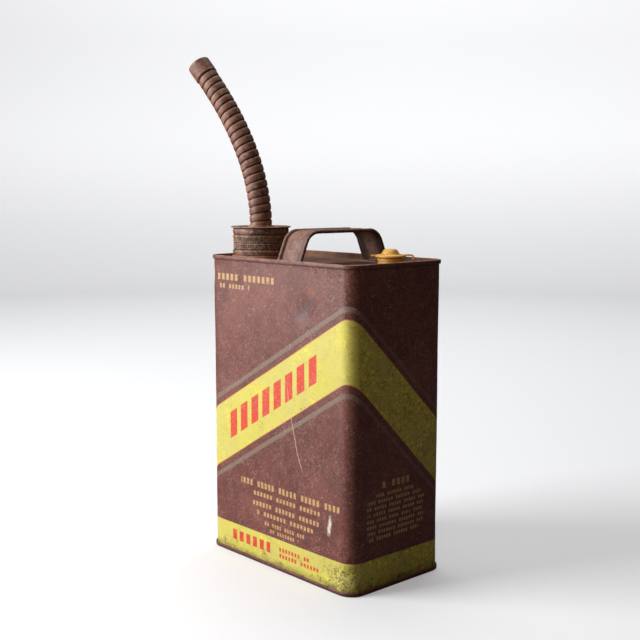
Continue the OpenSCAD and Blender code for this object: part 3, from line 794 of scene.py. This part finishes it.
def make_collar():
    """Pressed ring nut: two knurled bands between rolled grooves, a thin brim above."""
    top, foot = 22.9, 0.6
    skirt = 22.3              # radius
    # (height, how far the skirt stands out there, half height); the grooves are negative
    rolls = [(2.9, 0.5, 1.1), (4.85, -0.6, 0.55), (9.25, 0.3, 0.35), (9.95, -0.55, 0.5),
             (14.9, 0.5, 0.95), (16.45, -0.65, 0.65), (19.2, 0.3, 1.6)]
    bands = [(5.6, 9.0), (10.6, 13.1)]
    teeth = 88
    profile = lifted([(21.7, 0), (22.25, 0.15), (skirt, 0.6)], foot)
    profile += lifted([(skirt, -1.6), (22.6, -1.15), (23.6, -1.0), (24.1, -0.85), (24.25, -0.5),
                       (24.1, -0.14), (23.6, 0), (17.4, 0), (16.95, -0.12), (16.8, -0.4),
                       (17.0, -0.62), (20.6, -0.7), (21.2, -1.2), (21.3, -2)], top)
    profile = refine(profile + lifted([(21.3, 0.4)], foot), 0.36)

    def shape(r, z, angle):
        wall = (r > 21.9) & (z < top - 1.5)
        change = sum(out * np.exp(-((z - z0) / width) ** 2) for z0, out, width in rolls)
        for low, high in bands:
            tooth = np.clip(2.4 * np.abs(((angle * teeth / TURN) % 1.0) - 0.5) - 0.2, 0, 0.8)
            fade = np.clip((z - low) / 0.5, 0, 1) * np.clip((high - z) / 0.5, 0, 1)
            change = change - 0.6 * tooth * fade
        out = r + np.where(wall, change, 0)
        inside = (r > 20.9) & (r < 21.6) & (z < top - 2) & (z > foot + 0.3)
        return out - np.where(inside, 0.9 * ridge(z, angle, 3.0, 2.2, 15.0), 0)

    points, faces = lathe(profile, NECK, teeth * 6, shape)
    reach = np.hypot(points[:, 0] - NECK.x, points[:, 1] - NECK.y)
    height = points[:, 2] - CAN_H
    # painted shade: darkest in the rolled grooves and inside the skirt, 0.9 in a band under the brim
    painted_shade = np.clip((22.2 - reach) / 0.5, 0, 1) * ((height > foot + 0.2) & (height < top - 0.5))
    under_brim = (reach < 23.4) & (height > top - 1.9) & (height < top - 0.9)
    painted_shade = np.maximum(painted_shade, 0.9 * under_brim)
    add_object("collar", [(points, faces, painted_shade)], COLLAR_RUST, "collar", ["spout_collar"],
               sharp=50)


def make_flange():
    low = 20.7
    profile = [(7.6, -5), (8.0, -5), (8.0, 0), (19.1, 0), (19.4, 0.3), (19.4, 0.9), (19.1, 1.2),
               (16.0, 1.25), (15.6, 1.5), (15.1, 1.9), (14.2, 1.85), (11.4, 1.5), (10.5, 1.7),
               (10.4, 2.4), (10.15, 2.75), (9.6, 2.8), (9.2, 2.5), (9.1, 1.4), (7.6, 1.3)]
    parts = [lathe(refine(lifted(profile, low), 0.9), NECK)]
    add_object("flange", parts, COLLAR_RUST, "spout", ["spout_flange"])


make_neck()
make_collar()
make_flange()
dress("neck_gasket", RUBBER)


# ---- flexible spout ----

STRIP_PITCH = 6.15       # of the hose's helix
STEPS_PER_TURN = 48
HOSE_LOW = 22.2          # foot of the hose, above the top rim


def section_middles():
    """Middle of each hose section, along its straight axis."""
    first = (Vector((NECK.x, NECK.y, CAN_H + HOSE_LOW)) + PIVOTS[0]) / 2
    middles = [first] + [(a + b) / 2 for a, b in zip(PIVOTS, PIVOTS[1:])]
    return middles + [PIVOTS[-1] + TIP_DIR * 10.0]


def centreline():
    """Smooth curve up the hose: straight, then a bend round each pivot, then straight.
    Gives dense points, and the length along them of each section's middle."""
    middles = section_middles()
    points = [Vector((NECK.x, NECK.y, CAN_H + HOSE_LOW))]
    marks = []
    for k, pivot in enumerate(PIVOTS):
        a, b = middles[k], middles[k + 1]
        marks.append(len(points))
        for t in np.linspace(0, 1, 60, endpoint=False):
            points.append(a * (1 - t) ** 2 + pivot * (2 * t * (1 - t)) + b * t ** 2)
    marks.append(len(points))
    points = np.array(points + [middles[-1], PIVOTS[-1] + TIP_DIR * 18.4])
    gaps = np.linalg.norm(np.diff(points, axis=0), axis=1)
    lengths = np.concatenate([[0], np.cumsum(gaps)])
    return points, lengths, [lengths[m] for m in marks]


def strip_section():
    """Closed section of the wound strip: (along the hose, radius). Its upper edge is
    turned in and runs under the next turn."""
    crown = [(a, 8.78 + 0.22 * (1 - (a / 2.4) ** 2)) for a in np.linspace(-2.3, 2.1, 9)]
    lower_curl = [(-2.62, 8.58), (-2.78, 8.35), (-2.7, 8.15), (-2.45, 8.12)]
    upper_hook = [(2.4, 8.55), (2.52, 8.25), (3.1, 8.1), (4.1, 8.08), (4.35, 7.98),
                  (4.1, 7.84), (2.4, 7.84)]
    inside = [(2.1, 8.25), (0.0, 8.4), (-2.2, 8.4)]
    return crown + upper_hook + inside + lower_curl[::-1]


def hose_ribbon(start, end, points, lengths):
    """Part of the wound strip between two lengths along the hose."""
    section = strip_section()
    # painted shade on the curled edges, in the groove between turns
    painted_shade = [min(1.0, max(0.0, (8.76 - r) / 0.3)) for a, r in section]
    across = np.array(BEND_AXIS)

    def on_curve(at):
        at = min(max(at, 0), lengths[-1])
        return np.array([np.interp(at, lengths, points[:, i]) for i in range(3)])

    steps = max(2, round((end - start) / STRIP_PITCH * STEPS_PER_TURN))
    sections = []
    for s in np.linspace(start, end, steps + 1):
        ring = []
        angle = TURN * s / STRIP_PITCH
        for a, r in section:
            at = min(max(s + a, 0), lengths[-1])
            ahead = on_curve(at + 0.5) - on_curve(at - 0.5)
            side = np.cross(across, ahead / np.linalg.norm(ahead))
            ring.append(on_curve(at) + r * (math.cos(angle) * side + math.sin(angle) * across))
        sections.append(ring)
    return *sweep(sections), painted_shade * len(sections)


def make_hose():
    """The foot of the strip is rigid, on the spout. The other pieces are made in place, with no body."""
    points, lengths, marks = centreline()
    foot = [hose_ribbon(0.4, marks[0], points, lengths)]
    add_object("hose_strip_1", foot, HOSE_RUST, "spout", ["hose_section_1"],
               sharp=40)
    ends = marks[1:6] + [lengths[-1] - 1.0]
    for n, end in enumerate(ends):
        strip = [hose_ribbon(marks[n], end, points, lengths)]
        obj = add_object(f"hose_strip_{n + 2}", strip, HOSE_RUST, None,
                         [f"hose_section_{n + 2}"], sharp=40)
        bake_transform(obj)


def make_tip():
    """Plain sleeve swaged on the end of the hose, its mouth rolled round."""
    low, high = 7.1, 20.1
    profile = lifted([(8.65, 0), (9.15, 0), (9.42, 0.3), (9.5, 0.8)], low)
    profile += lifted([(9.5, -1.2), (9.42, -0.6), (9.15, -0.15), (8.75, 0), (8.35, -0.15),
                       (8.15, -0.6), (8.2, -1.3), (8.65, -2.0)], high)

    def shape(r, z, angle):
        return r - np.where(r > 9.0, 0.16 * np.exp(-((z - low - 2.4) / 0.5) ** 2), 0)

    parts = [lathe(refine(profile, 0.8), PIVOTS[-1], 96, shape, axis=TIP_DIR)]
    add_object("tip_sleeve", parts, HOSE_RUST, "hose_7", ["spout_tip"])


make_hose()
make_tip()


# ---- handle ----

HANDLE_TURN = math.radians(-4.5)
HANDLE_HALF_W = 15.0      # of the strap, over its beads
HANDLE_HALF_LEN = 45.2    # from the middle to the end of a foot


def handle_path():
    """Side view of the handle's outer face, from one foot to the other: (y, z, outward y,
    outward z, flatness), where flatness is 1 on the feet and 0 on the strap."""
    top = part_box("handle")[1].z / MM
    bend_r, lean, foot = 14.0, math.radians(21), 12.0
    bend_z = top - bend_r
    leg_run = (bend_z + bend_r * math.sin(lean) - PANEL_Z) * math.tan(lean)
    bend_y = HANDLE_HALF_LEN - leg_run - bend_r * math.cos(lean)
    toe_r = 1.6
    toe_y = HANDLE_HALF_LEN - toe_r - 0.6
    floor = PANEL_Z + 0.05
    path = [(y, floor, 0.0, -1.0, 1.0)
            for y in np.linspace(HANDLE_HALF_LEN - foot, toe_y, 9)]
    for k in range(1, 8):
        angle = -math.pi / 2 + (math.pi / 2 + lean) * k / 7
        path.append((toe_y + toe_r * math.cos(angle), floor + toe_r * (1 + math.sin(angle)),
                     math.cos(angle), math.sin(angle), max(0.0, 1 - k / 7)))
    knee_y = bend_y + bend_r * math.cos(lean)
    knee_z = bend_z + bend_r * math.sin(lean)
    y0, z0 = path[-1][:2]
    for t in np.linspace(0, 1, 14)[1:]:
        path.append((y0 + (knee_y - y0) * t, z0 + (knee_z - z0) * t,
                     math.cos(lean), math.sin(lean), 0.0))
    for angle in np.linspace(lean, math.pi / 2, 14)[1:]:
        path.append((bend_y + bend_r * math.cos(angle), bend_z + bend_r * math.sin(angle),
                     math.cos(angle), math.sin(angle), 0.0))
    mirrored = [(-y, z, -ny, nz, flat) for y, z, ny, nz, flat in path]
    span = [(y, top, 0.0, 1.0, 0.0) for y in np.linspace(bend_y, -bend_y, 22)[1:-1]]
    return path + span + mirrored[::-1]


def strap_section(half, flat):
    """Closed section of the strap: (across, outward). A crowned web lies between two rolled
    beads, a groove beside each; on the feet it is pressed flat."""
    bead = 1.42 * (1 - flat) + 0.5 * flat
    right = [(half - bead + bead * math.cos(a), -bead + bead * math.sin(a))
             for a in map(math.radians, np.linspace(150, -140, 15))]
    left = [(-u, v) for u, v in right[::-1]]
    inner = half - 2 * bead - 0.6 * (1 - flat)
    web = [(u, -0.25 - 1.75 * abs(u / inner) ** 3) for u in np.linspace(-inner, inner, 17)]
    over = [(u, v * (1 - flat)) for u, v in web]
    under = [(u, v * (1 - flat) - 0.9) for u, v in web[::-1]]
    return over + right + under + left


def make_handle():
    low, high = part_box("handle")
    middle = ((low.x + high.x) / 2 / MM, 0, 0)
    sections, painted_shade = [], []
    for y, z, ny, nz, flat in handle_path():
        dip = 0.08 * noise_at((0, y, z), 30, 8)
        ring = []
        for u, v in strap_section(HANDLE_HALF_W, flat):
            depth = v + 0.07 * noise_at((u, y, z), 3.2, 1) - 0.07 + min(0.0, dip)
            ring.append((u * 0.997, y + ny * depth, z + nz * depth))
            # painted shade in the grooves beside the beads and under the strap, none on the feet
            painted_shade.append(min(1.0, max(0.0, (-1.0 - v) / 0.8)) * (1 - flat))
        sections.append(ring)
    points, faces = sweep(sections)
    parts = [(placed(points, middle, HANDLE_TURN), faces, painted_shade)]
    # two spot welds on each foot
    weld = [(0.02, -0.2), (2.4, -0.2), (2.3, 0.2), (1.9, 0.4), (1.2, 0.28), (0.02, 0.22)]
    for sy in (-1, 1):
        for sx in (-1, 1):
            spot = (sx * 6.5, sy * (HANDLE_HALF_LEN - 7.5), PANEL_Z + 0.9)
            points, faces = lathe(weld, spot, 24)
            parts.append((placed(points, middle, HANDLE_TURN), faces))
    add_object("handle_strap", parts, HANDLE_RUST, "can", ["handle"], sharp=55)


make_handle()


# ---- vent ----

SEAT_TOP = 1.0            # height above the top rim
CAP_LOW = 1.3             # underside of the cap's brim above the top rim
STRAP_R = 3.0             # outside radius of the fold
STRAP_T = 1.2             # thickness
STRAP_W = 4.6             # width


def strip_part(path, width, narrow=None):
    """Flat strip with rounded edges along a path of (x, z, outward x, outward z), where x
    runs from the vent's axis along its strap. narrow gives shares of the width."""
    t = STRAP_T / 2
    sections = []
    for k, (x, z, nx, nz) in enumerate(path):
        half = width / 2 * (narrow[k] if narrow else 1)
        edge = [(half - t * 0.8, t), (half - t * 0.25, t * 0.8), (half, t * 0.2),
                (half, -t * 0.2), (half - t * 0.25, -t * 0.8), (half - t * 0.8, -t)]
        ring = edge + [(-a, b) for a, b in edge[::-1]]
        sections.append([(x + nx * b, a, z + nz * b) for a, b in ring])
    points, faces = sweep(sections)
    return placed(points, VENT, VENT_TURN), faces


def ear(start, z):
    """Flat end of the strap, from a distance out on the vent to the fold."""
    return strip_part([(x, z, 0, 1) for x in np.linspace(start, FOLD_REACH - 0.3, 6)], STRAP_W)


def make_vent():
    seat = lifted([(3.5, -0.3), (3.8, 0), (9.4, 0), (9.85, -0.2), (9.98, -0.7), (9.98, -1.9),
                   (9.6, -2.3)], SEAT_TOP)
    seat += lifted([(9.6, 1.4), (9.98, 1.0), (9.98, 0.3), (9.8, 0), (6.9, 0), (6.9, -0.6),
                    (7.85, -0.75), (7.6, -1.2), (6.5, -1.9), (3.5, -1.9)], PANEL_Z - CAN_H)
    seat_ear = ear(9.0, FOLD_Z - STRAP_R + STRAP_T / 2)
    parts = [lathe(refine(seat, 0.8), VENT, 96), seat_ear]
    add_object("vent_ring", parts, PLASTIC, "can", ["vent_seat"])

    cap = [(0.05, -3.5), (2.6, -3.5), (3.0, -3.1), (3.0, -0.3), (3.5, 0), (11.4, 0),
           (11.8, 0.25), (11.9, 0.8), (11.75, 1.35), (11.3, 1.7), (9.6, 2.05), (7.6, 2.3),
           (7.0, 2.5), (6.75, 3.0), (6.0, 4.3), (5.2, 5.4), (4.6, 5.9), (3.8, 6.1),
           (2.0, 6.05), (0.05, 6.0)]
    tab_z = CAP_LOW + 1.7 - STRAP_T / 2
    tab_path = [(-x, tab_z, 0, 1) for x in np.linspace(10.6, 15.1, 9)]
    tab = strip_part(tab_path, 4.8, narrow=[1, 1, 1, 1, 1, 0.98, 0.92, 0.78, 0.5])
    cap_ear = ear(10.6, FOLD_Z + STRAP_R - STRAP_T / 2)
    parts = [lathe(refine(lifted(cap, CAP_LOW), 0.8), VENT, 96), tab, cap_ear]
    add_object("vent_lid", parts, PLASTIC, "vent_cap", ["vent_cap"])

    middle_r = STRAP_R - STRAP_T / 2
    path = [(FOLD_REACH - 0.5, FOLD_Z - middle_r, 0, -1)]
    for angle in np.radians(np.linspace(-90, 90, 25)):
        path.append((FOLD_REACH + middle_r * math.cos(angle), FOLD_Z + middle_r * math.sin(angle),
                     math.cos(angle), math.sin(angle)))
    path.append((FOLD_REACH - 0.5, FOLD_Z + middle_r, 0, 1))
    parts = [strip_part(path, STRAP_W)]
    loop = add_object("vent_loop", parts, PLASTIC, None, ["vent_strap"])
    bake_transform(loop)


make_vent()


# ---- floor, light, camera ----

def make_stage():
    """Round pale floor that curves up into a backdrop on all sides."""
    flat, curve = 2.2, 0.8    # metres: radius of the flat floor, and of the curve
    profile = [(r, 0.0) for r in (0.0001, 0.3, 0.6, 1.0, 1.6, flat)]
    profile += [(flat + curve * math.sin(a), curve * (1 - math.cos(a)))
                for a in np.linspace(0, math.pi / 2, 12)[1:]]
    profile += [(3.0, 1.6), (3.0, 2.6)]
    segments = 96
    angles = np.arange(segments) * TURN / segments
    points = [(r * math.cos(a), r * math.sin(a), z) for r, z in profile for a in angles]
    mesh = bpy.data.meshes.new("stage_floor")
    mesh.from_pydata(points, [], grid_faces(len(profile), segments, False))
    mesh.shade_smooth()
    # to the camera the floor is pale; it throws less light back on the can
    s = Shader("stage_pale")
    pale = s.mix(s.step(s.z, 5.0, 500.0), (206, 207, 209), (240, 241, 243))
    pale = s.over(pale, s.noise(400, 2, 0.5), 0.1, (215, 216, 218))
    s.finish(s.mix(s.camera_ray(), (84, 84, 86), pale), 0.7)
    lift = s.mix(s.camera_ray(), (0, 0, 0), (0.26, 0.26, 0.264, 1))
    s.put(s.bsdf.inputs["Emission Color"], lift)
    s.bsdf.inputs["Emission Strength"].default_value = 1.0
    mesh.materials.append(s.material)
    floor = bpy.data.objects.new("stage_floor", mesh)
    bpy.context.scene.collection.objects.link(floor)


def area_light(name, place, target, size, power, tint=(1, 1, 1)):
    data = bpy.data.lights.new(name, "AREA")
    data.shape = "RECTANGLE"
    data.size, data.size_y = size
    data.energy = power
    data.color = tint
    light = bpy.data.objects.new(name, data)
    light.location = place
    light.rotation_euler = (Vector(target) - Vector(place)).to_track_quat("-Z", "Y").to_euler()
    bpy.context.scene.collection.objects.link(light)


def make_light():
    middle = (0, 0, 0.15)
    area_light("key", (-0.78, -1.19, 0.75), middle, (0.9, 1.3), 42)
    area_light("top", (-0.35, 0.35, 2.0), middle, (1.2, 1.2), 17)
    area_light("fill", (0.9, -0.9, 0.9), middle, (0.5, 0.5), 2.0, (1.0, 0.82, 0.62))
    area_light("backdrop", (-0.9, 0.9, 2.3), (-2.4, 2.2, 0.9), (1.6, 1.6), 38)
    world = bpy.data.worlds.new("studio")
    world.use_nodes = True
    background = world.node_tree.nodes["Background"]
    background.inputs["Color"].default_value = (1.0, 1.0, 1.0, 1)
    background.inputs["Strength"].default_value = 0.08
    bpy.context.scene.world = world
    bpy.context.scene.view_settings.view_transform = "Standard"


def make_camera():
    data = bpy.data.cameras.new("camera")
    data.sensor_width = 36
    data.lens = 59.573
    camera = bpy.data.objects.new("camera", data)
    camera.location = (0.6143, -0.5620, 0.2983)
    camera.rotation_euler = (math.radians(82.77), 0, math.radians(47.71))
    bpy.context.scene.collection.objects.link(camera)
    bpy.context.scene.camera = camera


make_stage()
make_light()
make_camera()
